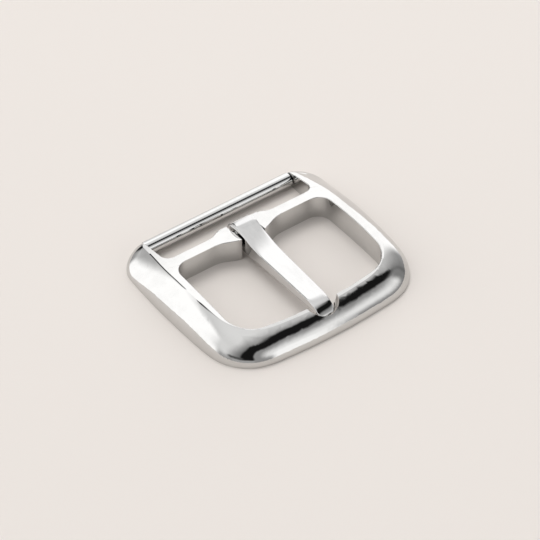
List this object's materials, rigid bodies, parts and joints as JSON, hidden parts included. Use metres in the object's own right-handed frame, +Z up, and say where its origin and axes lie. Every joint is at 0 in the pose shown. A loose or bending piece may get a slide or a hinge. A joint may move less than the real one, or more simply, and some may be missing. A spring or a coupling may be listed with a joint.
{
  "type": "watch tang buckle",
  "caption": "Polished steel tang buckle for a watch strap: domed frame, hinged tang and a sprung bar between the ears.",
  "frame": {"origin": "middle of the bounding box's bottom face, on the flat underside of the frame", "axes": "+X runs along the spring bar, +Y points from the tip of the tang to the spring bar, +Z is up through the arched top"},
  "size_m": [0.0244, 0.021, 0.0033],
  "materials": {
    "frame_steel": "mirror-polished stainless steel",
    "tang_steel": "mirror-polished stainless steel",
    "bar_steel": "turned and polished stainless steel",
    "plunger_steel": "turned stainless steel",
    "spring_steel": "drawn stainless spring wire"
  },
  "bodies": {
    "frame": {"frame": "frame_steel"},
    "tang": {"tang": "tang_steel"},
    "spring_bar": {"spring_bar_tube": "bar_steel", "spring_bar_spring": "spring_steel"},
    "plunger_left": {"spring_bar_plunger_left": "plunger_steel"},
    "plunger_right": {"spring_bar_plunger_right": "plunger_steel"}
  },
  "joints": [
    {"name": "tang_hinge", "type": "hinge", "parent": "frame", "child": "tang", "pos_m": [0, 0.00498, 0.0019], "axis": [-1, 0, 0], "range_deg": [0, 170]},
    {"name": "spring_bar_turn", "type": "hinge", "parent": "frame", "child": "spring_bar", "pos_m": [0, 0.0096, 0.00085], "axis": [1, 0, 0], "continuous": true},
    {"name": "plunger_left_slide", "type": "slide", "parent": "spring_bar", "child": "plunger_left", "axis": [1, 0, 0], "range_m": [0, 0.00048], "stiffness_N_per_m": 600, "springref_m": -0.001, "deforming": ["spring_bar_spring"]},
    {"name": "plunger_right_slide", "type": "slide", "parent": "spring_bar", "child": "plunger_right", "axis": [-1, 0, 0], "range_m": [0, 0.00048], "stiffness_N_per_m": 600, "springref_m": -0.001, "deforming": ["spring_bar_spring"]}
  ]
}
